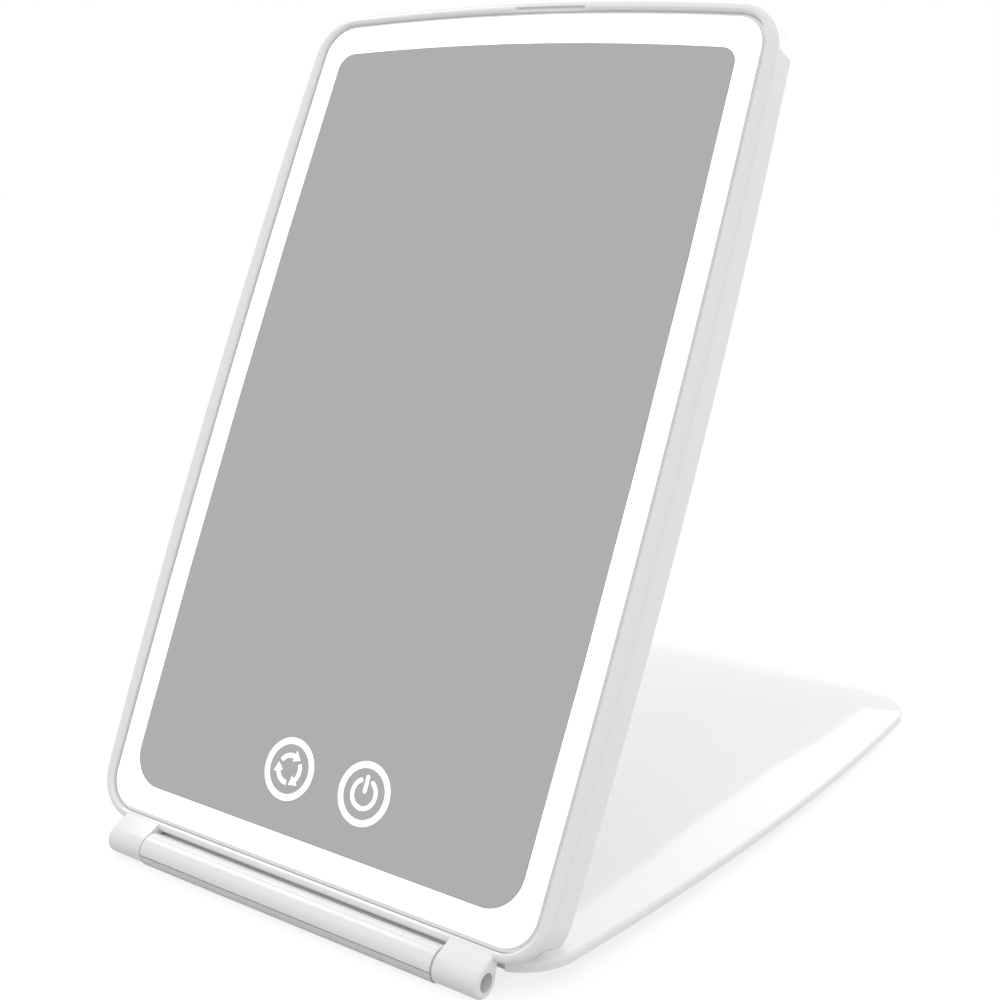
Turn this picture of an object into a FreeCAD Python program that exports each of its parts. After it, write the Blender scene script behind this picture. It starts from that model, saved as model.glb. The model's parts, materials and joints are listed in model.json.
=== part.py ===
import FreeCAD, Part
import math
import os

# Folding lighted make-up mirror: a mirror leaf and a domed cover leaf on one pin hinge.
# The cover is swung right round behind the mirror and serves as its stand.
# Lengths are in millimetres and angles in degrees.
# Both leaves are modelled shut, face to face, with the hinge axis along X through the
# origin, depth along Y (mirror leaf at +Y, cover leaf at -Y) and height along Z.
# Each leaf is then swung about the hinge to the place where it stands.

# Mirror leaf, seen from the front
leaf_width = 127.0
leaf_height = 198.0
leaf_side_bow = 2.5
leaf_top_bow = 2.8
leaf_corner_radius = 10.5

# Lit pane: the opal band and the silvered glass inside it
pane_side_bow = 1.5
pane_top_bow = 2.35
rim_side = 3.5
rim_top = 2.35
rim_bottom = 2.0
pane_corner_radius = 8.0
band_side = 6.05
band_top = 7.7
band_bottom = 6.7
glass_side_bow = 1.3
glass_top_bow = 2.0
glass_low_radius = 8.0
glass_high_radius = 4.0

# Mirror leaf, through its depth
closing_gap = 0.4
pane_recess = 0.6
band_thickness = 2.4
band_step_width = 0.8
band_step_depth = 0.7
glass_thickness = 2.0
glass_clearance = 0.1
ledge_width = 1.7
ledge_thickness = 0.9
frame_wall = 1.8
frame_depth = 7.4
rim_round = 1.4
rim_inner_bevel = 0.4
rear_cover_thickness = 1.5
rear_cover_crown = 2.7
rear_cover_round = 2.5
seam_step = 0.4
lip_thickness = 1.1
fit_clearance = 0.12
relief_start = 2.3
thumb_notch_width = 17.6
thumb_notch_offset = 4.4
thumb_notch_depth = 0.7
thumb_notch_height = 1.0

# Cover leaf, which is the stand
cover_side_bow = 5.0
cover_end_bow = 3.0
cover_front_radius = 14.0
cover_end_radius = 17.0
cover_edge = 2.0
cover_crown = 7.0
crown_inset_share = 0.35
crown_radius_share = 0.11
cover_wall = 1.6
liner_thickness = 1.2
liner_recess = 0.3
crown_steps = 5
crown_power_share = 2.2

# Hinge
hinge_drop = 4.0
barrel_radius = 3.6
barrel_land = 3.45
knuckle_radius = 3.4
hinge_setback = 12.5
knuckle_length = 10.4
washer_thickness = 0.4
washer_play = 0.05
washer_radius = 3.1
pin_radius = 1.5
pin_inset = 4.0
pin_grip = 0.02
sleeve_wall = 0.36
sleeve_length = 6.2
sleeve_running = 0.04
knuckle_swing_gap = 0.5
barrel_split_angle = 14.0

# Light unit inside the mirror leaf
chassis_setback = 0.8
chassis_plate = 1.4
chassis_skirt = 1.5
chassis_flange = 1.0
chassis_margin = 0.3
tape_setback = 3.0
tape_width = 5.5
led_board_width = 2.0
led_board_thickness = 1.0
led_length = 2.8
led_width = 1.6
led_height = 0.8
led_pitch = 9.6
led_corner_gap = 16.0
chassis_boss_radius = 2.4
chassis_boss_inset = 4.4
low_boss_rise = 14.0
chassis_screw_radius = 0.9
chassis_screw_head_radius = 1.9
chassis_screw_head = 1.2
chassis_screw_length = 2.9

# Touch controls, board, socket and battery
touch_rise = 13.1
touch_spacing = 20.7
touch_offset = 1.0
touch_pad_radius = 4.6
touch_pad_gap = 0.4
board_width = 64.0
board_height = 20.0
board_thickness = 1.0
board_standoff = 1.6
standoff_radius = 1.6
standoff_inset = 2.6
chip_width = 6.0
chip_height = 4.0
chip_thickness = 1.1
chip_spacing = 11.0
chip_drop = 5.0
socket_width = 8.94
socket_height = 3.26
socket_wall = 0.3
socket_tongue_width = 6.6
socket_tongue_height = 0.7
socket_floor = 0.6
socket_sill = 0.3
socket_gap = 0.2
battery_width = 62.0
battery_height = 84.0
battery_thickness = 3.6
battery_round = 1.2
battery_rise = 46.0
battery_tape_thickness = 0.3
battery_tape_margin = 6.0
lead_radius = 0.5
lead_spacing = 3.0
lead_bend = 3.0

# Stand pads and cover screws
pad_radius = 6.5
pad_setback = 20.0
pad_side = 21.5
pad_seat_depth = 0.7
pad_drop = 0.6
pad_fit = 0.05
liner_screw_side = 17.5
liner_screw_end = 50.0
liner_screw_radius = 1.1
liner_screw_head_radius = 2.3
liner_screw_head = 0.8
liner_screw_length = 3.4
liner_boss_radius = 2.8
screw_fit = 0.02

# Resting angle between the two leaves, and reach of the cutting blocks
leaf_angle = 66.7
overrun = 20.0
tiny = 0.0001

# Worked-out places
pane_width = leaf_width - 2 * rim_side
rim_front = closing_gap / 2
pane_front = rim_front + pane_recess
ledge_front = pane_front + band_thickness
ledge_back = ledge_front + ledge_thickness
frame_back = rim_front + frame_depth
leaf_back = frame_back + rear_cover_crown
cover_inside = leaf_back - rear_cover_thickness
leaf_low = hinge_drop
leaf_high = leaf_low + leaf_height
pane_low = leaf_low + rim_bottom
pane_high = leaf_high - rim_top
glass_low = pane_low + band_bottom
glass_high = pane_high - band_top
glass_half = pane_width / 2 - band_side
glass_back = pane_front + glass_thickness
chassis_front = ledge_front
chassis_inside = chassis_front + chassis_plate
flange_back = frame_back - lip_thickness / 2
flange_front = flange_back - chassis_flange
board_front = chassis_inside + board_standoff
board_back = board_front + board_thickness
touch_level = glass_low + touch_rise
hinge_length = leaf_width - 2 * hinge_setback
knuckle_inner = hinge_length / 2 - knuckle_length
barrel_half = knuckle_inner - washer_thickness - 2 * washer_play
knuckle_bore = pin_radius + sleeve_running + sleeve_wall + pin_grip
crown_inset = leaf_width * crown_inset_share
crown_radius = leaf_width * crown_radius_share
liner_front = -rim_front - liner_recess
liner_back = liner_front - liner_thickness
pad_half = leaf_width / 2 - pad_side
pad_place = leaf_high - pad_setback
stand_tilt = math.degrees(
    math.asin(barrel_land / math.hypot(pad_place, pad_drop)) - math.atan2(pad_drop, pad_place))
mirror_swing = leaf_angle - stand_tilt - 90.0
cover_swing = -90.0 - stand_tilt

V = FreeCAD.Vector
across = V(1, 0, 0)
inward = V(0, 1, 0)
upward = V(0, 0, 1)
sides = (-1, 1)


def block(x0, x1, y0, y1, z0, z1):
    """Box between two corners."""
    return Part.makeBox(x1 - x0, y1 - y0, z1 - z0, V(x0, y0, z0))


def rod(radius, x0, x1):
    """Cylinder on the hinge axis."""
    return Part.makeCylinder(radius, x1 - x0, V(x0, 0, 0), across)


def peg(radius, x, z, y0, y1):
    """Cylinder square to the leaf, between two depths."""
    return Part.makeCylinder(radius, y1 - y0, V(x, y0, z), inward)


def bowed_prism(half_width, low, high, side_bow, end_bow, low_radius, high_radius, y0, y1):
    """Prism on a leaf's outline, between two depths."""
    foot = half_width - side_bow
    shoulder = high - end_bow
    middle = (low + shoulder) / 2
    corners = [V(-foot, y0, low), V(foot, y0, low), V(foot, y0, shoulder), V(-foot, y0, shoulder)]
    edges = [
        Part.LineSegment(corners[0], corners[1]).toShape(),
        Part.Arc(corners[1], V(half_width, y0, middle), corners[2]).toShape(),
        Part.Arc(corners[2], V(0, y0, high), corners[3]).toShape(),
        Part.Arc(corners[3], V(-half_width, y0, middle), corners[0]).toShape(),
    ]
    prism = Part.Face(Part.Wire(edges)).extrude(V(0, y1 - y0, 0))
    for radius, is_low in ((low_radius, True), (high_radius, False)):
        upright = [e for e in prism.Edges
                   if e.BoundBox.XLength < tiny and e.BoundBox.ZLength < tiny
                   and abs(e.BoundBox.YLength - (y1 - y0)) < tiny
                   and (e.BoundBox.Center.z < middle) == is_low
                   and abs(abs(e.BoundBox.Center.x) - foot) < tiny]
        prism = prism.makeFillet(radius, upright)
    return prism


def leaf_prism(inset, y0, y1):
    """Prism on the mirror leaf's outline, drawn in by an even inset."""
    radius = leaf_corner_radius - inset
    return bowed_prism(leaf_width / 2 - inset, leaf_low + inset, leaf_high - inset,
                       leaf_side_bow, leaf_top_bow, radius, radius, y0, y1)


def pane_prism(inset, y0, y1):
    """Prism on the lit pane's outline."""
    radius = pane_corner_radius - inset
    return bowed_prism(pane_width / 2 - inset, pane_low + inset, pane_high - inset,
                       pane_side_bow, pane_top_bow, radius, radius, y0, y1)


def glass_prism(inset, y0, y1):
    """Prism on the silvered glass's outline."""
    share = max(0.0, 1.0 - inset / glass_low_radius)
    return bowed_prism(glass_half - inset, glass_low + inset, glass_high - inset,
                       glass_side_bow, glass_top_bow,
                       max(glass_low_radius * share, glass_high_radius / 2),
                       max(glass_high_radius * share, glass_high_radius / 2), y0, y1)


def cover_prism(inset, y0, y1):
    """Prism on the cover leaf's outline."""
    return bowed_prism(leaf_width / 2 - inset, leaf_low + inset, leaf_high - inset,
                       cover_side_bow, cover_end_bow,
                       cover_front_radius - inset, cover_end_radius - inset, y0, y1)


def bevel_level(inset, depth):
    """Height of the 45 degree bevel at a depth, drawn in square to its face."""
    return leaf_low + inset * math.sqrt(2) + depth - relief_start


def hinge_relief(inset):
    """Wedge below the bevel along the mirror leaf's lower back edge."""
    y0 = relief_start - overrun
    y1 = leaf_back + overrun
    points = [V(0, y0, bevel_level(inset, y0)),
              V(0, y1, bevel_level(inset, y1)),
              V(0, y1, bevel_level(inset, y0))]
    face = Part.Face(Part.makePolygon(points + points[:1]))
    wedge = face.extrude(V(leaf_width, 0, 0))
    return wedge.translated(V(-leaf_width / 2, 0, 0))


def outline_edges(shape, depth):
    """Edges of a shape that lie flat at one depth."""
    return [e for e in shape.Edges
            if e.BoundBox.YLength < tiny and abs(e.BoundBox.Center.y - depth) < tiny]


def tangent_point(y, z, radius, turn):
    """Point where a line from (y, z) touches a circle round the hinge axis."""
    angle = math.atan2(y, z) + turn * math.acos(radius / math.hypot(y, z))
    return V(0, radius * math.sin(angle), radius * math.cos(angle))


def knuckle(side):
    """Hinge knuckle and the ear that carries it down from the frame."""
    ear_front = V(0, rim_front, leaf_low + rim_round)
    ear_back = V(0, relief_start, leaf_low + rim_round / 2)
    profile = [ear_front,
               tangent_point(ear_front.y, ear_front.z, knuckle_radius, -1),
               V(0, 0, 0),
               tangent_point(ear_back.y, ear_back.z, knuckle_radius, 1),
               ear_back]
    ear = Part.Face(Part.makePolygon(profile + profile[:1])).extrude(V(knuckle_length, 0, 0))
    body = ear.fuse(Part.makeCylinder(knuckle_radius, knuckle_length, V(0, 0, 0), across))
    bore = Part.makeCylinder(knuckle_bore, knuckle_length, V(0, 0, 0), across)
    start = knuckle_inner if side > 0 else -knuckle_inner - knuckle_length
    return body.cut(bore).translated(V(start, 0, 0))


def boss_places():
    """Centres of the four bosses that the light unit is screwed to."""
    half = leaf_width / 2 - leaf_side_bow - frame_wall - chassis_boss_inset
    return [(side * half, z) for side in sides
            for z in (leaf_low + low_boss_rise, leaf_high - leaf_top_bow - frame_wall - chassis_boss_inset)]


def make_front_frame():
    """Rim, side walls, inner ledge, screw bosses and the two end knuckles."""
    body = leaf_prism(0, rim_front, frame_back)
    body = body.makeFillet(rim_round, outline_edges(body, rim_front))
    body = body.cut(hinge_relief(0))
    body = body.cut(pane_prism(-fit_clearance, rim_front - overrun, ledge_front))
    inner = [e for e in outline_edges(body, rim_front)
             if pane_prism(-2 * fit_clearance, rim_front - closing_gap, ledge_front).isInside(
                 e.valueAt((e.FirstParameter + e.LastParameter) / 2), tiny, True)]
    body = body.makeChamfer(rim_inner_bevel, inner)
    body = body.cut(pane_prism(ledge_width, rim_front, ledge_back))
    cavity = leaf_prism(frame_wall, ledge_back, frame_back + overrun).cut(hinge_relief(frame_wall))
    body = body.cut(cavity)
    for x, z in boss_places():
        boss = peg(chassis_boss_radius, x, z, ledge_front, flange_front)
        body = body.fuse(boss.cut(pane_prism(0, rim_front, ledge_front)))
        body = body.cut(peg(chassis_screw_radius + screw_fit, x, z, ledge_back, flange_front))
    notch_left = thumb_notch_offset - thumb_notch_width / 2
    notch = block(notch_left, notch_left + thumb_notch_width, rim_front - overrun,
                  rim_front + thumb_notch_depth, pane_high - rim_top, pane_high + thumb_notch_height)
    body = body.cut(notch)
    for side in sides:
        body = body.fuse(knuckle(side))
    return body.removeSplitter()


def make_rear_cover():
    """Back tray with rounded edges, a locating lip and the charging opening."""
    body = leaf_prism(seam_step, frame_back, leaf_back)
    body = body.makeFillet(rear_cover_round, outline_edges(body, leaf_back))
    body = body.cut(hinge_relief(0))
    lip_inset = frame_wall + fit_clearance
    body = body.fuse(leaf_prism(lip_inset, flange_back, frame_back).cut(hinge_relief(lip_inset)))
    hollow_inset = lip_inset + lip_thickness
    hollow = leaf_prism(hollow_inset, flange_back - overrun, cover_inside)
    body = body.cut(hollow.cut(hinge_relief(hollow_inset)))
    half_width = socket_width / 2 + socket_gap
    half_height = socket_height / 2 + socket_gap
    opening = block(-half_width, half_width, cover_inside - overrun, leaf_back + overrun,
                    touch_level - half_height, touch_level + half_height)
    return body.cut(opening).removeSplitter()


def make_light_band():
    """Opal ring round the silvered glass, flush with it, stepped down along the frame."""
    step_floor = pane_front + band_step_depth
    ring = pane_prism(0, step_floor, ledge_front)
    ring = ring.fuse(pane_prism(band_step_width, pane_front, step_floor))
    return ring.cut(glass_prism(-glass_clearance, pane_front - overrun, ledge_front + overrun))


def make_mirror_glass():
    """Silvered glass pane."""
    return glass_prism(0, pane_front, glass_back)


def make_mirror_tape():
    """Adhesive frame between the glass and the chassis plate."""
    outer = glass_prism(tape_setback, glass_back, chassis_front)
    return outer.cut(glass_prism(tape_setback + tape_width, glass_back - overrun, chassis_front + overrun))


def touch_places():
    """Centres of the two touch keys across the leaf."""
    return [touch_offset + side * touch_spacing / 2 for side in sides]


def standoff_places():
    """Corners of the control board that stand on the chassis."""
    half = board_width / 2 - standoff_inset
    rise = board_height / 2 - standoff_inset
    return [(a * half, touch_level + b * rise) for a in sides for b in sides]


def make_led_chassis():
    """Moulded tray: plate under the glass, skirt, and the flange that carries the LED boards."""
    body = glass_prism(chassis_setback, chassis_front, flange_back)
    hollow = glass_prism(chassis_setback + chassis_skirt, chassis_inside, flange_back + overrun)
    flange_inset = frame_wall + chassis_margin
    flange = leaf_prism(flange_inset, flange_front, flange_back).cut(hinge_relief(flange_inset))
    body = body.fuse(flange).cut(hollow)
    for x, z in boss_places():
        body = body.cut(peg(chassis_screw_radius + fit_clearance, x, z,
                            flange_front - overrun, flange_back + overrun))
    for x in touch_places():
        body = body.cut(peg(touch_pad_radius + touch_pad_gap, x, touch_level,
                            chassis_front - overrun, chassis_inside))
    for x, z in standoff_places():
        body = body.fuse(peg(standoff_radius, x, z, chassis_inside, board_front))
    return body.removeSplitter()


def led_runs():
    """Start, direction and length of the four straight LED boards."""
    side_gap = (leaf_width / 2 - frame_wall + glass_half - chassis_setback) / 2 - leaf_side_bow / 2
    low_level = (bevel_level(frame_wall, flange_front) + glass_low + chassis_setback) / 2
    high_level = (glass_high - chassis_setback + leaf_high - frame_wall) / 2 - leaf_top_bow / 4
    half = glass_half - led_corner_gap / 2
    rise = leaf_height - 2 * led_corner_gap - low_boss_rise / 2
    start = leaf_low + led_corner_gap + low_boss_rise / 2
    return [(V(-half, 0, low_level), across, 2 * half),
            (V(-half, 0, high_level), across, 2 * half),
            (V(-side_gap, 0, start), upward, rise),
            (V(side_gap, 0, start), upward, rise)]


def led_block(place, along, length, width, y0, y1):
    """Box that runs along one of the two leaf directions."""
    half = width / 2
    end = place + along * length
    wide = V(0, 0, half) if along.x else V(half, 0, 0)
    low = place - wide
    high = end + wide
    return block(low.x, high.x, y0, y1, low.z, high.z)


def make_led_strips():
    """Four LED boards lying on the chassis flange."""
    top = flange_front - led_board_thickness
    return Part.makeCompound([led_block(place, along, length, led_board_width, top, flange_front)
                              for place, along, length in led_runs()])


def make_leds():
    """LED chips along the boards, facing the opal band."""
    back = flange_front - led_board_thickness
    chips = []
    for place, along, length in led_runs():
        count = int(length // led_pitch)
        first = (length - (count - 1) * led_pitch - led_length) / 2
        for index in range(count):
            start = place + along * (first + index * led_pitch)
            chips.append(led_block(start, along, led_length, led_width, back - led_height, back))
    return Part.makeCompound(chips)


def make_chassis_screws():
    """Four screws that draw the chassis flange down on the frame's bosses."""
    screws = []
    for x, z in boss_places():
        shank = peg(chassis_screw_radius, x, z, flange_back - chassis_screw_length, flange_back)
        head = peg(chassis_screw_head_radius, x, z, flange_back, flange_back + chassis_screw_head)
        screws.append(shank.fuse(head))
    return Part.makeCompound(screws)


def make_touch_pads():
    """Conductive foam columns from the control board to the back of the glass."""
    return Part.makeCompound([peg(touch_pad_radius, x, touch_level, glass_back, board_front)
                              for x in touch_places()])


def make_control_board():
    """Board for the touch keys, the lamp driver and the charger."""
    return block(-board_width / 2, board_width / 2, board_front, board_back,
                 touch_level - board_height / 2, touch_level + board_height / 2)


def make_board_chips():
    """Driver and charger packages on the back of the board."""
    chips = []
    for side in sides:
        for index in (1, 2):
            x = side * chip_spacing * index
            z = touch_level - chip_drop
            chips.append(block(x - chip_width / 2, x + chip_width / 2,
                               board_back, board_back + chip_thickness,
                               z - chip_height / 2, z + chip_height / 2))
    return Part.makeCompound(chips)


def socket_slab(width, height, y0, y1):
    """Round-ended slab square to the board."""
    body = block(-width / 2, width / 2, y0, y1, touch_level - height / 2, touch_level + height / 2)
    ends = [e for e in body.Edges if e.BoundBox.XLength < tiny and e.BoundBox.ZLength < tiny]
    return body.makeFillet(height / 2 - tiny, ends)


def make_usb_socket():
    """Upright charging socket: round-ended shell with a contact tongue."""
    mouth = leaf_back - socket_sill
    shell = socket_slab(socket_width, socket_height, board_back, mouth)
    shell = shell.cut(socket_slab(socket_width - 2 * socket_wall, socket_height - 2 * socket_wall,
                                  board_back + socket_floor, mouth + overrun))
    tongue = block(-socket_tongue_width / 2, socket_tongue_width / 2, board_back, mouth - socket_sill,
                   touch_level - socket_tongue_height / 2, touch_level + socket_tongue_height / 2)
    return shell.fuse(tongue).removeSplitter()


def make_battery_tape():
    """Foam tape that holds the cell to the chassis plate."""
    half = battery_width / 2 - battery_tape_margin
    low = leaf_low + battery_rise + battery_tape_margin
    return block(-half, half, chassis_inside, chassis_inside + battery_tape_thickness,
                 low, low + battery_height - 2 * battery_tape_margin)


def make_battery_cell():
    """Pouch cell with rounded edges."""
    front = chassis_inside + battery_tape_thickness
    low = leaf_low + battery_rise
    cell = block(-battery_width / 2, battery_width / 2, front, front + battery_thickness,
                 low, low + battery_height)
    upright = [e for e in cell.Edges if abs(e.BoundBox.ZLength - battery_height) < tiny]
    return cell.makeFillet(battery_round, upright)


def make_battery_leads():
    """Two insulated leads from the cell's foot down to the board's top edge."""
    level = board_back + lead_radius
    start = leaf_low + battery_rise
    end = touch_level + board_height / 2 - lead_bend
    leads = []
    for side in sides:
        foot = V(side * lead_spacing / 2, level, end)
        leads.append(Part.makeCylinder(lead_radius, start - end, foot, upward))
    return Part.makeCompound(leads)


def cover_dome(inset, straight):
    """Solid dome of the cover leaf, drawn in by an even wall thickness, with curved or straight ribs."""
    edge = -rim_front - cover_edge
    sections = []
    for step in range(crown_steps):
        share = (step / (crown_steps - 1)) ** 2
        rise = cover_crown * (1.0 - (1.0 - share) ** crown_power_share)
        draw = crown_inset * share + inset
        low_radius = cover_front_radius + (crown_radius - cover_front_radius) * share - inset
        high_radius = cover_end_radius + (crown_radius - cover_end_radius) * share - inset
        depth = edge - rise + inset
        prism = bowed_prism(leaf_width / 2 - draw, leaf_low + draw, leaf_high - draw, cover_side_bow,
                            cover_end_bow, low_radius, high_radius, depth - cover_edge, depth)
        rim = [f for f in prism.Faces
               if f.BoundBox.YLength < tiny and abs(f.BoundBox.Center.y - depth) < tiny]
        sections.append(rim[0].OuterWire)
    crown = Part.makeLoft(sections, True, straight)
    return cover_prism(inset, edge + inset, -rim_front).fuse(crown)


def split_half(keep_shell):
    """Half-space on one side of the sloping joint between the two barrel halves."""
    half = block(-hinge_length, hinge_length, -overrun if keep_shell else 0, 0 if keep_shell else overrun,
                 -overrun, overrun)
    return half.rotated(V(0, 0, 0), across, barrel_split_angle)


def barrel_part(keep_shell):
    """Middle hinge barrel, one of its two halves, with the web that joins it to the cover."""
    body = rod(barrel_radius, -barrel_half, barrel_half)
    web = block(-barrel_half, barrel_half, -rim_front - cover_edge, -rim_front, 0, leaf_low + cover_wall)
    body = body.fuse(web).common(split_half(keep_shell))
    return body.cut(rod(pin_radius + pin_grip, -barrel_half - overrun, barrel_half + overrun))


def knuckle_room():
    """Space at each end of the barrel in which the knuckles swing."""
    reach = math.hypot(leaf_low + rim_round, rim_front) + knuckle_swing_gap
    rooms = [rod(reach, start, start + hinge_length / 2 - barrel_half + knuckle_swing_gap)
             for start in (barrel_half, -hinge_length / 2 - knuckle_swing_gap)]
    return Part.makeCompound(rooms)


def liner_screw_places():
    """Centres of the two screws under the cover's far end."""
    half = leaf_width / 2 - liner_screw_side
    return [(side * half, leaf_high - liner_screw_end) for side in sides]


def tongue_room():
    """Gap in the shell's front wall for the liner's barrel half."""
    room = block(-barrel_half, barrel_half, liner_back, overrun, 0, leaf_low + 2 * cover_wall)
    return room.common(split_half(False))


def make_cover_shell():
    """Domed shell with the upper barrel half and the bosses for its screws."""
    dome = cover_dome(0, False)
    shell = dome.cut(cover_dome(cover_wall, True))
    shell = shell.cut(cover_prism(cover_wall, liner_back, overrun))
    for x, z in liner_screw_places():
        boss = peg(liner_boss_radius, x, z, liner_back - cover_crown - cover_edge, liner_back).common(dome)
        shell = shell.fuse(boss)
        shell = shell.cut(peg(liner_screw_radius + screw_fit, x, z,
                              liner_back - liner_screw_length, liner_back + overrun))
    shell = shell.cut(tongue_room()).fuse(barrel_part(True))
    return shell.cut(knuckle_room()).removeSplitter()


def make_cover_liner():
    """Flat liner that closes the shell, with the lower barrel half."""
    liner = cover_prism(cover_wall + fit_clearance, liner_back, liner_front)
    tongue = block(-barrel_half, barrel_half, liner_back, liner_front, 0, leaf_low + 2 * cover_wall)
    liner = liner.fuse(tongue.common(split_half(False))).fuse(barrel_part(False))
    liner = liner.cut(rod(pin_radius + pin_grip, -barrel_half - overrun, barrel_half + overrun))
    for x, z in liner_screw_places():
        liner = liner.cut(peg(liner_screw_radius + fit_clearance, x, z,
                              liner_back - overrun, liner_front + overrun))
        liner = liner.cut(peg(liner_screw_head_radius + fit_clearance, x, z,
                              liner_front - liner_screw_head, liner_front + overrun))
    for side in sides:
        liner = liner.cut(peg(pad_radius + pad_fit, side * pad_half, pad_place,
                              liner_front - pad_seat_depth, liner_front + overrun))
    return liner.cut(knuckle_room()).removeSplitter()


def make_liner_screws():
    """Two screws that hold the liner's far end in the shell."""
    screws = []
    for x, z in liner_screw_places():
        head_back = liner_front - liner_screw_head
        shank = peg(liner_screw_radius, x, z, liner_back - liner_screw_length, head_back)
        screws.append(shank.fuse(peg(liner_screw_head_radius, x, z, head_back, liner_front)))
    return Part.makeCompound(screws)


def make_foot_pads():
    """Two rubber pads under the far end of the cover."""
    return Part.makeCompound([peg(pad_radius, side * pad_half, pad_place,
                                  liner_front - pad_seat_depth, pad_drop + closing_gap) for side in sides])


def make_hinge_pin():
    """Steel pin through the barrel and both knuckles."""
    return rod(pin_radius, -hinge_length / 2 + pin_inset, hinge_length / 2 - pin_inset)


def make_friction_sleeves():
    """Sleeves pressed in the knuckles that grip the pin."""
    sleeves = []
    for start in (knuckle_inner, -knuckle_inner - sleeve_length):
        outer = rod(knuckle_bore - pin_grip, start, start + sleeve_length)
        bore = rod(pin_radius + sleeve_running, start - overrun, start + sleeve_length + overrun)
        sleeves.append(outer.cut(bore))
    return Part.makeCompound(sleeves)


def make_thrust_washers():
    """Washers between the barrel's ends and the knuckles."""
    washers = []
    for start in (barrel_half + washer_play, -barrel_half - washer_play - washer_thickness):
        outer = rod(washer_radius, start, start + washer_thickness)
        washers.append(outer.cut(rod(pin_radius + sleeve_running, start - overrun, start + overrun)))
    return Part.makeCompound(washers)


def stand(shape, swing):
    """Swing a leaf about the hinge and lift the hinge to its height over the table."""
    return shape.rotated(V(0, 0, 0), across, swing).translated(V(0, 0, barrel_land))


table = block(-leaf_width, leaf_width, -overrun, leaf_high + overrun, -overrun, 0)

mirror_leaf = {
    "front_frame": make_front_frame,
    "rear_cover": make_rear_cover,
    "light_band": make_light_band,
    "mirror_glass": make_mirror_glass,
    "mirror_tape": make_mirror_tape,
    "led_chassis": make_led_chassis,
    "led_strips": make_led_strips,
    "leds": make_leds,
    "chassis_screws": make_chassis_screws,
    "touch_pads": make_touch_pads,
    "control_board": make_control_board,
    "board_chips": make_board_chips,
    "usb_socket": make_usb_socket,
    "battery_tape": make_battery_tape,
    "battery_cell": make_battery_cell,
    "battery_leads": make_battery_leads,
    "friction_sleeves": make_friction_sleeves,
}
cover_leaf = {
    "cover_shell": make_cover_shell,
    "cover_liner": make_cover_liner,
    "liner_screws": make_liner_screws,
    "foot_pads": make_foot_pads,
    "hinge_pin": make_hinge_pin,
    "thrust_washers": make_thrust_washers,
}
trimmed_by_table = ("cover_liner", "foot_pads")

os.makedirs("parts", exist_ok=True)
for name, make in mirror_leaf.items():
    stand(make(), mirror_swing).exportStep("parts/" + name + ".step")
for name, make in cover_leaf.items():
    shape = stand(make(), cover_swing)
    if name in trimmed_by_table:
        shape = shape.cut(table)
    shape.exportStep("parts/" + name + ".step")
print("stand tilt", round(stand_tilt, 3), "mirror lean", round(-mirror_swing, 3))
print("hinge height", barrel_land, "swing to shut", round(360.0 + cover_swing - mirror_swing, 3))
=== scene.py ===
import json
import math

import bmesh
import bpy
from mathutils import Matrix, Quaternion, Vector
from mathutils.geometry import intersect_sphere_sphere_2d


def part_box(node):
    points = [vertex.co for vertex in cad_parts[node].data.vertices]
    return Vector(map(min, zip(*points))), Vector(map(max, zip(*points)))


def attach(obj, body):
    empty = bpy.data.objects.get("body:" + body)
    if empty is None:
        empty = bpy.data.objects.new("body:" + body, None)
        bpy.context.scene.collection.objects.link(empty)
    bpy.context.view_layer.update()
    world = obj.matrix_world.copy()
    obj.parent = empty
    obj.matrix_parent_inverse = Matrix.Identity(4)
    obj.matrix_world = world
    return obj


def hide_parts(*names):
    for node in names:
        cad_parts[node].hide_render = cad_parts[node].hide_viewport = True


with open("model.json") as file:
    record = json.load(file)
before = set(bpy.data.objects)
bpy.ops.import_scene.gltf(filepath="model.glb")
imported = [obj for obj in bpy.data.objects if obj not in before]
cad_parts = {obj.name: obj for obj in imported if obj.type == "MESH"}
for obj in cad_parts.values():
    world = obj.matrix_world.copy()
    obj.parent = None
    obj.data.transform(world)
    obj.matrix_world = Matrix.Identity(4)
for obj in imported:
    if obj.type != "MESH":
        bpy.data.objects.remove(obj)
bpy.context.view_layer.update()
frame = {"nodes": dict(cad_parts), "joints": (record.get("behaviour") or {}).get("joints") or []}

# Looks of a folding lighted make-up mirror: mirror leaf, light border, touch symbols and
# the domed cover that serves as its stand. Lengths are in metres, from millimetres through mm.

mm = 0.001

# Touch symbols printed on the glass: a ring each, a power sign and three chasing arrows
ring_outer = 6.65 * mm
ring_inner = 5.27 * mm
print_gap = 0.01 * mm
print_thickness = 0.04 * mm
power_outer = 3.45 * mm
power_inner = 2.5 * mm
power_gap_angle = 31.0
power_bar_half = 0.46 * mm
power_bar_low = 0.55 * mm
power_bar_high = 3.5 * mm
arrow_outer = 3.4 * mm
arrow_inner = 2.4 * mm
arrow_tip_radius = 3.3 * mm
arrow_head_inner = 1.75 * mm
arrow_head_outer = 4.2 * mm
arrow_tip_angle = 45.0
arrow_head_angle = 33.0
arrow_tail_angle = 107.0
arrow_count = 3
arc_steps = 20
cap_steps = 8
ring_steps = 72

# Finish of the moulded edges, with angles in degrees
edge_softening = 0.18 * mm
edge_steps = 2
edge_angle = 55.0
flat_angle = 0.4
smooth_angle = 38.0
merge_distance = 0.002 * mm
near = 0.03 * mm

# Cover: the parting line of its barrel, as angles above the hinge axis, and the rounding of its rim
barrel_radius = 3.6 * mm
barrel_reach = 7.2 * mm
parting_lip = -0.1
parting_sill = -5.5
parting_spare = 1.0
parting_length = 30.0 * mm
cover_rim_round = 0.9 * mm
cover_rim_steps = 5
round_profile = 0.5
upright_rise = 0.08
sloped_rise = 0.16

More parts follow.
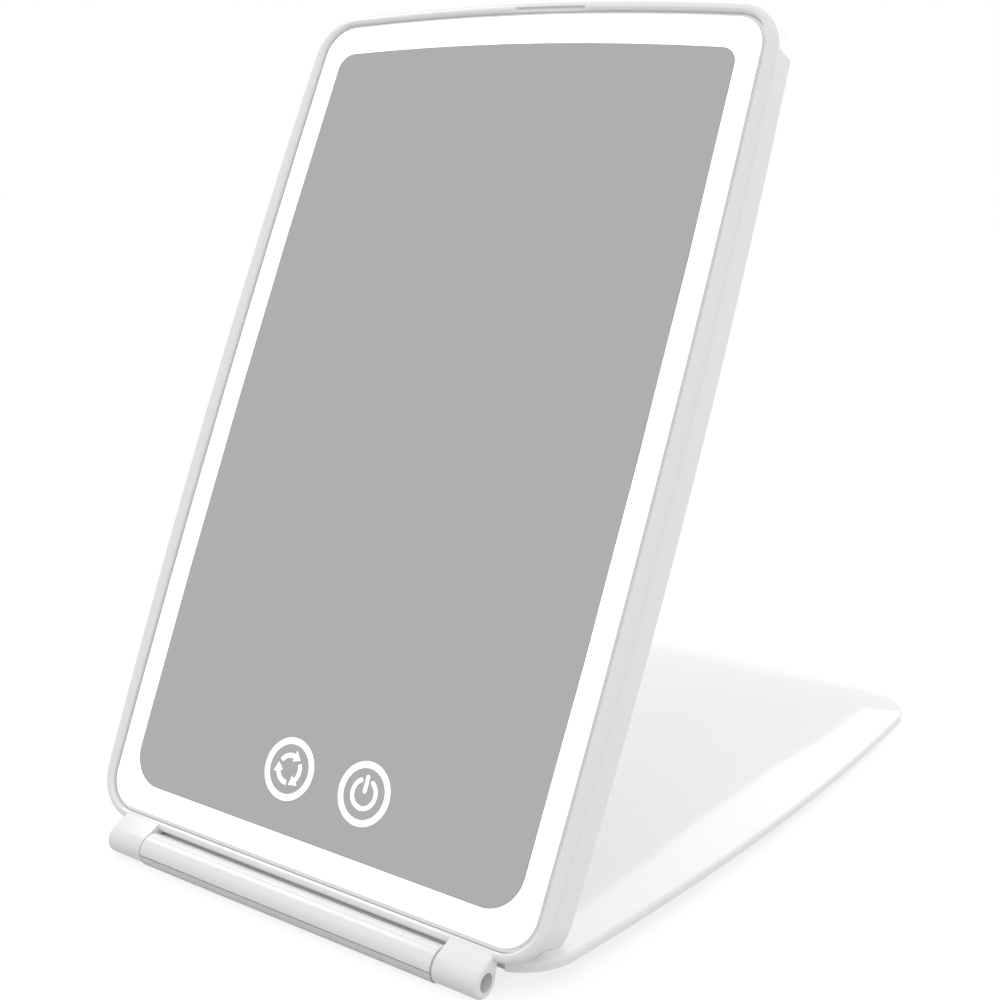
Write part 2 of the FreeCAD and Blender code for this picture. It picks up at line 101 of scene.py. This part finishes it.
# Front of the light border: how squarely a face looks forward and how near the glass it lies
front_facing = 0.99
front_reach = 0.1 * mm

# Front frame: outlines as half width, low and high level, side bow, top bow and corner radius,
# drawn in steps along half the foot, the low corner, the side, the high corner and half the top
leaf_low = 4.0 * mm
leaf_high = 202.0 * mm
leaf_outline = (63.5 * mm, leaf_low, leaf_high, 2.5 * mm, 2.8 * mm, 10.5 * mm)
pane_outline = (60.0 * mm, 6.0 * mm, 199.65 * mm, 1.5 * mm, 2.35 * mm, 8.0 * mm)
outline_steps = (24, 16, 30, 16, 52)
rim_front = 0.2 * mm
rim_round = 1.4 * mm
rim_bevel = 0.4 * mm
rim_steps = 6
pane_gap = 0.12 * mm
ledge_width = 1.7 * mm
ledge_front = 3.2 * mm
ledge_back = 4.1 * mm
frame_wall = 1.8 * mm
frame_back = 7.6 * mm
seam_round = 0.18 * mm
relief_start = 2.3 * mm
notch_left = -4.4 * mm
notch_right = 13.2 * mm
notch_depth = 0.7 * mm
notch_height = 1.0 * mm
knuckle_radius = 3.4 * mm
knuckle_bore = 1.92 * mm
knuckle_start = 40.6 * mm
knuckle_end = 51.0 * mm
knuckle_end_round = 0.8 * mm
knuckle_steps = 44
ear_steps = 8
ear_front = (0.2 * mm, 5.4 * mm)
ear_back = (2.3 * mm, 4.7 * mm)

# Camera at the photograph's angle, with its focal length in pixels of a 1000 pixel image
camera_place = Vector((201.2, -211.7, 156.9)) * mm
camera_aim = Vector((9.43, 60.0, 79.42)) * mm
camera_roll = 0.0214
focal_pixels = 1535.0
image_pixels = 1000.0
sensor_width = 36.0

# Studio: sizes and places in metres
floor_half = 3.0
floor_glow = 0.8
world_light = 0.77
white_level = 1.0
back_box_place = Vector((0.52, 2.4, 1.4))
back_box_size = (1.9, 2.0)
back_box_radiance = 1.5
left_box_place = Vector((-0.8, 0.05, 1.03))
left_box_size = (0.5, 0.32)
left_box_radiance = 3.2
key_box_place = Vector((-0.65, -0.9, 0.85))
key_box_size = (0.7, 0.7)
key_box_radiance = 2.0
right_box_place = Vector((1.6, 0.0, 0.24))
right_box_size = (0.9, 0.4)
right_box_radiance = 4.2
box_aim = Vector((0.0, 0.06, 0.03))


def linear(hex_colour):
    """sRGB hex value to a linear colour."""
    parts = [int(hex_colour[i:i + 2], 16) / 255 for i in (1, 3, 5)]
    return [c / 12.92 if c <= 0.04045 else ((c + 0.055) / 1.055) ** 2.4 for c in parts] + [1.0]


def add(tree, kind, settings=None, links=None):
    """Adds a node, sets its properties and sockets, and links its inputs."""
    node = tree.nodes.new(kind)
    for key, value in (settings or {}).items():
        if isinstance(key, str) and hasattr(node, key):
            setattr(node, key, value)
        else:
            node.inputs[key].default_value = value
    for key, source in (links or {}).items():
        tree.links.new(source, node.inputs[key])
    return node


def finish_of(name, colour, roughness, metallic=0.0, ior=1.5, grain=None, glow=None):
    """Principled material, with a grain (size, depth in mm) and a glow (colour, strength) if it has them."""
    material = bpy.data.materials.new(name)
    material.use_nodes = True
    tree = material.node_tree
    tree.nodes.clear()
    sockets = {"Base Color": linear(colour), "Roughness": roughness, "Metallic": metallic, "IOR": ior}
    if glow:
        sockets["Emission Color"] = linear(glow[0])
        sockets["Emission Strength"] = glow[1]
    surface = add(tree, "ShaderNodeBsdfPrincipled", sockets)
    if grain:
        size, depth = grain
        place = add(tree, "ShaderNodeTexCoord")
        noise = add(tree, "ShaderNodeTexNoise", {"Scale": 1.0 / (size * mm), "Detail": 2.0},
                    {"Vector": place.outputs["Object"]})
        bump = add(tree, "ShaderNodeBump", {"Strength": 1.0, "Distance": depth * mm},
                   {"Height": noise.outputs["Fac"]})
        tree.links.new(bump.outputs["Normal"], surface.inputs["Normal"])
    add(tree, "ShaderNodeOutputMaterial", {}, {"Surface": surface.outputs["BSDF"]})
    return material


# Injection-moulded ABS from a polished tool: clean white with a glossy, slightly soft reflection.
gloss_abs = finish_of("moulded_gloss_white_abs", "#EFEFF0", 0.1)
# ABS from a spark-eroded tool: the fine even grain of 0.25 mm takes the gloss off the liner.
grained_abs = finish_of("grained_white_abs", "#E4E4E5", 0.5, grain=(0.25, 0.01))
# Opal PMMA lit from behind: an even white glow with no hot spots.
lit_opal = finish_of("lit_opal_acrylic", "#F7F7F5", 0.3, ior=1.49, glow=("#FFFFFF", 0.58))
# The same opal PMMA on its stepped edge: a quiet grey-white whose faint glow is partly light leaking from
# the lit acrylic and partly painted light that lifts the shade in the narrow step.
opal_edge = finish_of("opal_acrylic_edge", "#E2E2E1", 0.45, ior=1.49, glow=("#FFFFFF", 0.12))
# Back-silvered float glass, its colour darkened to one even cool grey as a painted reflection of a grey
# studio, with a sharp reflection on top.
silvered_glass_painted_grey = finish_of("silvered_float_glass_painted_grey", "#AFAFB0", 0.02, metallic=1.0)
# Screen print on the glass, lit from behind: a flat pure white.
lit_print = finish_of("backlit_white_print", "#FFFFFF", 0.5, glow=("#FFFFFF", 0.6))
# Acrylic adhesive film: milky and dull.
adhesive_film = finish_of("acrylic_adhesive_film", "#DADAD6", 0.6)
# Polycarbonate light tray, moulded matt white to scatter the light forward.
tray_pc = finish_of("matt_white_polycarbonate", "#E8E8E8", 0.55)
# White solder mask on an aluminium LED board: plain white with a soft sheen.
led_board = finish_of("white_solder_mask", "#E6E8E6", 0.4)
# LED package under its phosphor gel: lemon yellow and shiny.
phosphor = finish_of("led_phosphor_gel", "#E8CF5A", 0.25)
# Zinc-plated steel screws: pale grey metal with a soft sheen.
zinc_steel = finish_of("zinc_plated_steel", "#B9BABD", 0.32, metallic=1.0)
# Ground steel hinge pin, finer and brighter than the screws.
ground_steel = finish_of("ground_steel", "#C4C5C8", 0.2, metallic=1.0)
# Conductive polyurethane foam: charcoal and matt, with open cells of about 0.4 mm.
conductive_foam = finish_of("conductive_foam", "#2A2A2C", 0.9, grain=(0.4, 0.05))
# Green solder mask on a glass-epoxy board: deep green with a lacquer sheen.
green_board = finish_of("green_solder_mask", "#1C5A38", 0.35)
# Moulded epoxy of a chip package: near black and dull.
black_epoxy = finish_of("black_moulded_epoxy", "#19191B", 0.55)
# Nickel-plated steel shell of the charging socket: bright, slightly warm metal.
nickel_steel = finish_of("nickel_plated_steel", "#C3C3C6", 0.25, metallic=1.0)
# Closed-cell foam tape: dark grey, matt.
foam_tape = finish_of("closed_cell_foam_tape", "#4C4C4E", 0.9)
# Aluminium-laminate pouch of the cell, embossed with a fine 0.8 mm orange peel.
pouch = finish_of("aluminium_laminate_pouch", "#B8BABF", 0.38, metallic=1.0, grain=(0.8, 0.01))
# Extruded PVC insulation of the battery leads: red with a soft shine.
red_pvc = finish_of("red_pvc_insulation", "#A8241F", 0.4)
# Natural acetal of the bearing sleeves and washers: waxy off-white.
acetal = finish_of("natural_acetal", "#DEDED8", 0.42)
# Moulded silicone rubber of the stand pads: mid grey, matt, fine 0.3 mm texture.
pad_rubber = finish_of("grey_silicone_rubber", "#9A9A9C", 0.75, grain=(0.3, 0.01))


def flat_mesh(name, outline, low, high):
    """Closed plate between two heights on a flat outline."""
    mesh = bpy.data.meshes.new(name)
    model = bmesh.new()
    base = model.faces.new([model.verts.new((x, y, low)) for x, y in outline])
    raised = bmesh.ops.extrude_face_region(model, geom=[base])
    tops = [v for v in raised["geom"] if isinstance(v, bmesh.types.BMVert)]
    bmesh.ops.translate(model, verts=tops, vec=(0, 0, high - low))
    bmesh.ops.dissolve_degenerate(model, dist=merge_distance, edges=model.edges)
    bmesh.ops.recalc_face_normals(model, faces=model.faces)
    model.to_mesh(mesh)
    model.free()
    return mesh


def polar(radius, angle):
    """Point at a distance from the origin and an angle in degrees."""
    return radius * math.cos(math.radians(angle)), radius * math.sin(math.radians(angle))


def arc(radius, start, end, steps):
    """Points on a circle round the origin, from one angle to another in degrees."""
    return [polar(radius, start + (end - start) * i / steps) for i in range(steps + 1)]


def round_end(radius, angle, half_width, start):
    """Points of a half circle that closes a stroke, centred at a radius and angle."""
    x, y = polar(radius, angle)
    return [(x + dx, y + dy) for dx, dy in arc(half_width, start, start + 180, cap_steps)]


def loft(model, loops):
    """Closed tube through closed loops of points, the last loop joined to the first."""
    rings = [[model.verts.new(point) for point in loop] for loop in loops]
    count = len(rings[0])
    faces = []
    for this, following in zip(rings, rings[1:] + rings[:1]):
        for i in range(count):
            j = (i + 1) % count
            faces.append(model.faces.new((this[i], this[j], following[j], following[i])))
    bmesh.ops.recalc_face_normals(model, faces=faces)


def ring_mesh(name, outer, inner, low, high):
    """Closed flat ring."""
    mesh = bpy.data.meshes.new(name)
    model = bmesh.new()
    loft(model, [[(x, y, z) for x, y in arc(radius, 0, 360, ring_steps)[:-1]]
                 for radius, z in ((outer, low), (outer, high), (inner, high), (inner, low))])
    model.to_mesh(mesh)
    model.free()
    return mesh


def piece(name, mesh, material):
    """Object that shows a mesh in one material."""
    mesh.materials.clear()
    mesh.materials.append(material)
    made = bpy.data.objects.new(name, mesh)
    bpy.context.scene.collection.objects.link(made)
    return made


def settled(source, name, material):
    """Plain-mesh copy of an object with its modifiers worked in; the source is removed."""
    bpy.context.view_layer.update()
    shown = source.evaluated_get(bpy.context.evaluated_depsgraph_get())
    mesh = bpy.data.meshes.new_from_object(shown)
    bpy.data.objects.remove(source)
    mesh.name = name
    return piece(name, mesh, material)


def worked(source, tree, values, name, material):
    """Runs a geometry tree on an object and returns the plain mesh piece."""
    modifier = source.modifiers.new(tree.name, "NODES")
    modifier.node_group = tree
    for item in tree.interface.items_tree:
        if item.in_out == "INPUT" and item.name in values:
            modifier[item.identifier] = values[item.name]
    return settled(source, name, material)


def chasing_tree():
    """Tree that repeats a shape at even angles round the origin."""
    tree = bpy.data.node_groups.new("shapes_round_a_centre", "GeometryNodeTree")
    for label, kind in (("Geometry", "Geometry"), ("Count", "Int"), ("Material", "Material")):
        tree.interface.new_socket(label, in_out="INPUT", socket_type="NodeSocket" + kind)
    tree.interface.new_socket("Geometry", in_out="OUTPUT", socket_type="NodeSocketGeometry")
    given = add(tree, "NodeGroupInput")
    points = add(tree, "GeometryNodePoints", {}, {"Count": given.outputs["Count"]})
    index = add(tree, "GeometryNodeInputIndex")
    step = add(tree, "ShaderNodeMath", {"operation": "DIVIDE", 0: 2 * math.pi}, {1: given.outputs["Count"]})
    turn = add(tree, "ShaderNodeMath", {"operation": "MULTIPLY"},
               {0: index.outputs["Index"], 1: step.outputs["Value"]})
    spin = add(tree, "ShaderNodeCombineXYZ", {}, {"Z": turn.outputs["Value"]})
    copies = add(tree, "GeometryNodeInstanceOnPoints", {},
                 {"Points": points.outputs["Points"], "Instance": given.outputs["Geometry"],
                  "Rotation": spin.outputs["Vector"]})
    real = add(tree, "GeometryNodeRealizeInstances", {}, {"Geometry": copies.outputs["Instances"]})
    painted = add(tree, "GeometryNodeSetMaterial", {},
                  {"Geometry": real.outputs["Geometry"], "Material": given.outputs["Material"]})
    add(tree, "NodeGroupOutput", {}, {"Geometry": painted.outputs["Geometry"]})
    return tree


hinge_axis = Vector(frame["joints"][0]["pos_m"])


def from_hinge(point):
    """Distance of a point from the hinge axis."""
    return math.hypot(point.y - hinge_axis.y, point.z - hinge_axis.z)


def elevation(point):
    """Angle of a point above the hinge axis, in degrees, seen from the front."""
    return math.degrees(math.atan2(point.z - hinge_axis.z, hinge_axis.y - point.y))


def parted_at(level):
    """Change of shape that moves the front edge of one half of the barrel to an angle above the axis."""
    def on_front(point):
        return abs(from_hinge(point) - barrel_radius) < near and point.y < hinge_axis.y

    def move_edge(model):
        rows = [edge for edge in model.edges
                if edge.calc_length() > parting_length and all(on_front(v.co) for v in edge.verts)]
        parting = next(edge for edge in rows if edge.calc_face_angle() > math.radians(edge_angle))
        start = elevation(parting.verts[0].co)
        passed = [edge for edge in rows if start + parting_spare < elevation(edge.verts[0].co) < level]
        bmesh.ops.dissolve_edges(model, edges=passed, use_verts=True)
        for vert in parting.verts:
            vert.co.y = hinge_axis.y - barrel_radius * math.cos(math.radians(level))
            vert.co.z = hinge_axis.z + barrel_radius * math.sin(math.radians(level))
    return move_edge


def rounded_rim(model):
    """Rounds the cover's rim where the dome meets its upright edge, then parts its half of the barrel."""
    def on_rim(edge):
        rises = sorted(face.normal.z for face in edge.link_faces)
        if len(rises) != 2 or not edge.is_convex:
            return False
        is_shoulder = abs(rises[0]) < upright_rise and rises[1] > sloped_rise
        return is_shoulder and all(from_hinge(v.co) > barrel_reach for v in edge.verts)

    bmesh.ops.bevel(model, geom=[edge for edge in model.edges if on_rim(edge)], offset=cover_rim_round,
                    segments=cover_rim_steps, profile=round_profile, affect="EDGES", clamp_overlap=True)
    parted_at(parting_lip)(model)


def finished(model, node, body, material, softened):
    """Shows a form in place of a CAD node, with softened edges and even shading."""
    for face in model.faces:
        face.smooth = True
    for edge in model.edges:
        edge.smooth = len(edge.link_faces) == 2 and edge.calc_face_angle() < math.radians(smooth_angle)
    mesh = bpy.data.meshes.new(node + "_form")
    model.to_mesh(mesh)
    model.free()
    if "custom_normal" in mesh.attributes:
        mesh.attributes.remove(mesh.attributes["custom_normal"])
    made = piece(node + "_form", mesh, material)
    if softened:
        bevel = made.modifiers.new("softened_edges", "BEVEL")
        bevel.width = edge_softening
        bevel.segments = edge_steps
        bevel.limit_method = "ANGLE"
        bevel.angle_limit = math.radians(edge_angle)
        bevel.harden_normals = False
    even = made.modifiers.new("even_shading", "WEIGHTED_NORMAL")
    even.keep_sharp = True
    shown = settled(made, node + "_finish", material)
    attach(shown, body)
    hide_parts(node)
    return shown


def dressed(node, body, material, softened, shape=None):
    """Shows a CAD node with merged corners and softened edges, after a change of shape if it has one."""
    model = bmesh.new()
    model.from_mesh(frame["nodes"][node].data)
    bmesh.ops.remove_doubles(model, verts=model.verts, dist=merge_distance)
    bmesh.ops.dissolve_limit(model, angle_limit=math.radians(flat_angle),
                             verts=model.verts, edges=model.edges)
    if shape:
        shape(model)
    return finished(model, node, body, material, softened)


def paint(node, material):
    """Gives a CAD node its finish."""
    data = frame["nodes"][node].data
    data.materials.clear()
    data.materials.append(material)


# The glass's front face: outward normal, the direction up the leaf, and one point on it
glass_mesh = frame["nodes"]["mirror_glass"].data
glass_face = max((f for f in glass_mesh.polygons if f.normal.y < 0), key=lambda f: f.area)
outward = glass_face.normal.copy()
across = Vector((1, 0, 0))
upward = outward.cross(across)
glass_level = glass_face.center.dot(outward)


def on_glass(mesh, x, height):
    """Lays a flat mesh on the glass, centred at a place across and up the leaf."""
    turn = Matrix((across, upward, outward)).transposed().to_4x4()
    mesh.transform(Matrix.Translation(across * x + upward * height + outward * glass_level) @ turn)


def outline_points(outline, inset):
    """Points (across, up) of a bowed outline with rounded corners, drawn in by an even inset."""
    half_width, low, high, side_bow, top_bow, radius = outline
    half_width, low, high, radius = half_width - inset, low + inset, high - inset, radius - inset
    foot = half_width - side_bow
    half_side = (high - top_bow - low) / 2
    side_radius = (half_side ** 2 + side_bow ** 2) / (2 * side_bow)
    side_centre = Vector((half_width - side_radius, low + half_side))
    top_radius = (foot ** 2 + top_bow ** 2) / (2 * top_bow)
    top_centre = Vector((0.0, high - top_radius))
    rise = low + radius - side_centre.y
    low_centre = Vector((side_centre.x + math.sqrt((side_radius - radius) ** 2 - rise ** 2), low + radius))
    meetings = intersect_sphere_sphere_2d(side_centre, side_radius - radius, top_centre, top_radius - radius)
    high_centre = max(meetings, key=lambda point: point.x)

    def direction(start, end):
        return math.degrees(math.atan2(end.y - start.y, end.x - start.x))

    turns = [-90.0, direction(side_centre, low_centre), direction(side_centre, high_centre),
             direction(top_centre, high_centre), 90.0]
    right = [(low_centre.x * i / outline_steps[0], low) for i in range(outline_steps[0])]
    for centre, size, start, end, steps in zip(
            (low_centre, side_centre, high_centre, top_centre), (radius, side_radius, radius, top_radius),
            turns, turns[1:], outline_steps[1:]):
        right += [(centre.x + x, centre.y + y) for x, y in arc(size, start, end, steps)[:-1]]
    return right + [(0.0, high)] + [(-x, y) for x, y in reversed(right[1:])]


def on_leaf(x, height, depth):
    """Place on the mirror leaf: across, up from the hinge axis and back from its plane."""
    return hinge_axis + across * x + upward * height - outward * depth


def leaf_loop(inset, depth, bevelled=False):
    """Loop of the frame at an inset and a depth, kept above the bevel along its lower back edge."""
    level = leaf_low + depth - relief_start + (inset * math.sqrt(2) if bevelled else 0.0)
    return [on_leaf(x, max(height, level), depth) for x, height in outline_points(leaf_outline, inset)]


def pane_loop(inset, depth, notched=0.0):
    """Loop of the frame along the pane's opening, set back in the thumb notch at the top."""
    return [on_leaf(x, height, max(depth, notched) if is_notch(x, height) else depth)
            for x, height in outline_points(pane_outline, inset)]


def is_notch(x, height):
    """Whether a place on the rim lies in the thumb notch."""
    return notch_left < x < notch_right and height > leaf_high / 2


def rim_shoulder(depth, spare):
    """Loop on the rim's flat: beside the thumb notch where there is one, else beside the inner bevel."""
    shoulder = outline_points(pane_outline, -notch_height - spare)
    beside = outline_points(pane_outline, -pane_gap - rim_bevel - 2 * spare)
    return [on_leaf(*(a if is_notch(*a) else b), depth if is_notch(*a) else rim_front)
            for a, b in zip(shoulder, beside)]


def quarter_turn():
    """Angles of a rounded edge, from its start to its end."""
    return [math.pi / 2 * i / rim_steps for i in range(rim_steps + 1)]


def knuckle_loops(side):
    """Loops of one knuckle with its ear, its bore and its rounded outer end."""
    def touch(ear, turn):
        """Angle, from straight up towards the back, where a side of the ear runs into the round."""
        return math.degrees(math.atan2(*ear) + turn * math.acos(knuckle_radius / math.hypot(*ear)))

    start, end = touch(ear_front, -1), touch(ear_back, 1) - 360
    skin = [(y, x) for x, y in arc(knuckle_radius, start, end, knuckle_steps)]
    sides = ((skin[-1], ear_back), (ear_back, ear_front), (ear_front, skin[0]))
    for (back, up), (next_back, next_up) in sides:
        skin += [(back + (next_back - back) * i / ear_steps, up + (next_up - up) * i / ear_steps)
                 for i in range(1, ear_steps + 1)]
    skin.pop()

    def loop(x, shares):
        return [on_leaf(side * x, up * share, back * share) for (back, up), share in zip(skin, shares)]

    def skin_loop(x, inset):
        return loop(x, [1 - inset / math.hypot(*point) for point in skin])

    def bore_loop(x):
        return loop(x, [knuckle_bore / math.hypot(*point) for point in skin])

    rounded = [skin_loop(knuckle_end - knuckle_end_round * (1 - math.sin(turn)),
                         knuckle_end_round * (1 - math.cos(turn))) for turn in quarter_turn()]
    return [skin_loop(knuckle_start, 0.0)] + rounded + [bore_loop(knuckle_end), bore_loop(knuckle_start)]


# Front frame: its rim and walls lofted round the leaf, then the two knuckles with their ears
rim = bmesh.new()
notch_level = rim_front + notch_depth
outer_wall = [leaf_loop(seam_round, frame_back), leaf_loop(0.0, frame_back - seam_round),
              leaf_loop(0.0, relief_start)]
rim_edge = [leaf_loop(rim_round * (1 - math.cos(turn)), rim_front + rim_round * (1 - math.sin(turn)))
            for turn in quarter_turn()]
rim_flat = [rim_shoulder(rim_front, near), rim_shoulder(notch_level, 0.0)]
inner_edge = [pane_loop(-pane_gap - rim_bevel, rim_front, notch_level),
              pane_loop(-pane_gap, rim_front + rim_bevel, notch_level + near)]
ledge = [pane_loop(-pane_gap, ledge_front), pane_loop(ledge_width, ledge_front),
         pane_loop(ledge_width, ledge_back)]
inner_wall = [leaf_loop(frame_wall, ledge_back, True), leaf_loop(frame_wall, frame_back, True)]
loft(rim, outer_wall + rim_edge + rim_flat + inner_edge + ledge + inner_wall)
for side in (-1, 1):
    loft(rim, knuckle_loops(side))
bmesh.ops.dissolve_degenerate(rim, dist=merge_distance, edges=rim.edges)
finished(rim, "front_frame", "mirror", gloss_abs, False)

# Moulded pieces, with their edges softened as a tool leaves them
dressed("rear_cover", "mirror", gloss_abs, True)
dressed("cover_shell", "cover", gloss_abs, True, rounded_rim)
dressed("cover_liner", "cover", grained_abs, True, parted_at(parting_sill))
dressed("foot_pads", "cover", pad_rubber, True)
dressed("hinge_pin", "cover", ground_steel, True)
dressed("usb_socket", "mirror", nickel_steel, False)
dressed("liner_screws", "cover", zinc_steel, True)

# Flat and hidden pieces keep their solids
# The mirror glass's even grey is a painted reflection of a grey studio, not the glass's own tone
for node, material in (
        ("mirror_glass", silvered_glass_painted_grey), ("mirror_tape", adhesive_film), ("led_chassis", tray_pc),
        ("led_strips", led_board), ("leds", phosphor), ("chassis_screws", zinc_steel),
        ("touch_pads", conductive_foam), ("control_board", green_board), ("board_chips", black_epoxy),
        ("battery_tape", foam_tape), ("battery_cell", pouch), ("battery_leads", red_pvc),
        ("friction_sleeves", acetal), ("thrust_washers", acetal)):
    paint(node, material)

# Light border: its front face glows, and its stepped edge keeps a faint glow, partly painted light against
# the shade in the step
band = dressed("light_band", "mirror", lit_opal, False)
band.data.materials.append(opal_edge)
for face in band.data.polygons:
    is_level = abs(face.center.dot(outward) - glass_level) < front_reach
    is_front = is_level and face.normal.dot(outward) > front_facing
    face.material_index = 0 if is_front else 1

# Touch symbols over the two foam sensors
pads_low, pads_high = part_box("touch_pads")
pads_middle = (pads_low + pads_high) / 2
sensor = frame["nodes"]["touch_pads"].data
left_points = [v.co for v in sensor.vertices if v.co.x < pads_middle.x]
left_x = (min(p.x for p in left_points) + max(p.x for p in left_points)) / 2
right_x = 2 * pads_middle.x - left_x
symbol_height = sum(p.dot(upward) for p in left_points) / len(left_points)
top = print_gap + print_thickness

for name, x in (("mode_ring", left_x), ("power_ring", right_x)):
    ring = ring_mesh(name, ring_outer, ring_inner, print_gap, top)
    on_glass(ring, x, symbol_height)
    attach(piece(name, ring, lit_print), "mirror")

power_start, power_end = 90 + power_gap_angle, 450 - power_gap_angle
stroke = (power_outer - power_inner) / 2
power_outline = (arc(power_outer, power_start, power_end, 2 * arc_steps)
                 + round_end(power_inner + stroke, power_end, stroke, power_end)
                 + arc(power_inner, power_end, power_start, 2 * arc_steps)
                 + round_end(power_inner + stroke, power_start, stroke, power_start + 180))
bar_outline = (round_end(power_bar_high, 90, power_bar_half, 0)
               + round_end(power_bar_low, 90, power_bar_half, 180))
for name, outline in (("power_arc", power_outline), ("power_bar", bar_outline)):
    sign = flat_mesh(name, outline, print_gap, top)
    on_glass(sign, right_x, symbol_height)
    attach(piece(name, sign, lit_print), "mirror")

neck = arrow_tip_angle + arrow_head_angle
tail = arrow_tip_angle + arrow_tail_angle
arrow_outline = (arc(arrow_outer, tail, neck, arc_steps)
                 + [polar(arrow_head_outer, neck), polar(arrow_tip_radius, arrow_tip_angle),
                    polar(arrow_head_inner, neck)]
                 + arc(arrow_inner, neck, tail, arc_steps))
arrow = piece("one_arrow", flat_mesh("one_arrow", arrow_outline, print_gap, top), lit_print)
arrow_inputs = {"Count": arrow_count, "Material": lit_print}
arrows = worked(arrow, chasing_tree(), arrow_inputs, "mode_arrows", lit_print)
on_glass(arrows.data, left_x, symbol_height)
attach(arrows, "mirror")

# Stage: a pale seamless floor that is white to the eye and keeps a soft shadow
floor_mesh = bpy.data.meshes.new("floor")
floor_mesh.from_pydata([(-floor_half, -floor_half, 0), (floor_half, -floor_half, 0),
                        (floor_half, floor_half, 0), (-floor_half, floor_half, 0)], [], [(0, 1, 2, 3)])
floor_finish = bpy.data.materials.new("pale_studio_floor")
floor_finish.use_nodes = True
paper = floor_finish.node_tree
paper.nodes.clear()
ray = add(paper, "ShaderNodeLightPath")
seen = add(paper, "ShaderNodeMath", {"operation": "MAXIMUM"},
           {0: ray.outputs["Is Camera Ray"], 1: ray.outputs["Is Glossy Ray"]})
plain = add(paper, "ShaderNodeBsdfDiffuse", {"Color": linear("#A8A8A8")})
faint = add(paper, "ShaderNodeBsdfDiffuse", {"Color": linear("#8A8A8A")})
glow = add(paper, "ShaderNodeEmission", {"Color": linear("#FFFFFF"), "Strength": floor_glow})
bright = add(paper, "ShaderNodeAddShader", {}, {0: faint.outputs["BSDF"], 1: glow.outputs["Emission"]})
both = add(paper, "ShaderNodeMixShader", {}, {0: seen.outputs["Value"], 1: plain.outputs["BSDF"],
                                              2: bright.outputs["Shader"]})
add(paper, "ShaderNodeOutputMaterial", {}, {"Surface": both.outputs["Shader"]})
piece("floor", floor_mesh, floor_finish)

# World: even soft light, white to the camera and in reflections
world = bpy.data.worlds.new("white_studio")
world.use_nodes = True
bpy.context.scene.world = world
air = world.node_tree
air.nodes.clear()
ray = add(air, "ShaderNodeLightPath")
seen = add(air, "ShaderNodeMath", {"operation": "MAXIMUM"},
           {0: ray.outputs["Is Camera Ray"], 1: ray.outputs["Is Glossy Ray"]})
shown = add(air, "ShaderNodeMath", {"operation": "MAXIMUM"},
            {0: seen.outputs["Value"], 1: ray.outputs["Is Transmission Ray"]})
soft = add(air, "ShaderNodeBackground", {"Color": linear("#FFFFFF"), "Strength": world_light})
white = add(air, "ShaderNodeBackground", {"Color": linear("#FFFFFF"), "Strength": white_level})
both = add(air, "ShaderNodeMixShader", {}, {0: shown.outputs["Value"], 1: soft.outputs["Background"],
                                            2: white.outputs["Background"]})
add(air, "ShaderNodeOutputWorld", {}, {"Surface": both.outputs["Shader"]})


def soft_box(name, place, size, radiance, mirrored=True):
    """Soft box turned towards the mirror, as bright all over as its radiance, seen in gloss or not."""
    lamp = bpy.data.lights.new(name, "AREA")
    lamp.shape = "RECTANGLE"
    lamp.size, lamp.size_y = size
    lamp.energy = radiance * math.pi * lamp.size * lamp.size_y
    box = bpy.data.objects.new(name, lamp)
    box.location = place
    box.rotation_mode = "QUATERNION"
    box.rotation_quaternion = (box_aim - place).to_track_quat("-Z", "Y")
    box.visible_glossy = mirrored
    bpy.context.scene.collection.objects.link(box)


# The large box behind gives the cover's right flank its bright edge, and the small one at the
# upper left draws the highlight along the hinge barrel and the rim
soft_box("back_soft_box", back_box_place, back_box_size, back_box_radiance)
soft_box("left_soft_box", left_box_place, left_box_size, left_box_radiance)
# The box at the front left lights the leaf and lets it shade the cover; the pane doesn't show it
soft_box("key_soft_box", key_box_place, key_box_size, key_box_radiance, False)
# The low box at the right lights the leaf's side wall
soft_box("right_soft_box", right_box_place, right_box_size, right_box_radiance, False)

lens = bpy.data.cameras.new("photo_camera")
lens.sensor_width = sensor_width
lens.lens = focal_pixels / image_pixels * sensor_width
camera = bpy.data.objects.new("photo_camera", lens)
camera.location = camera_place
camera.rotation_mode = "QUATERNION"
camera.rotation_quaternion = ((camera_aim - camera_place).to_track_quat("-Z", "Y")
                              @ Quaternion((0, 0, 1), camera_roll))
bpy.context.scene.collection.objects.link(camera)
bpy.context.scene.camera = camera
bpy.context.scene.view_settings.view_transform = "Standard"
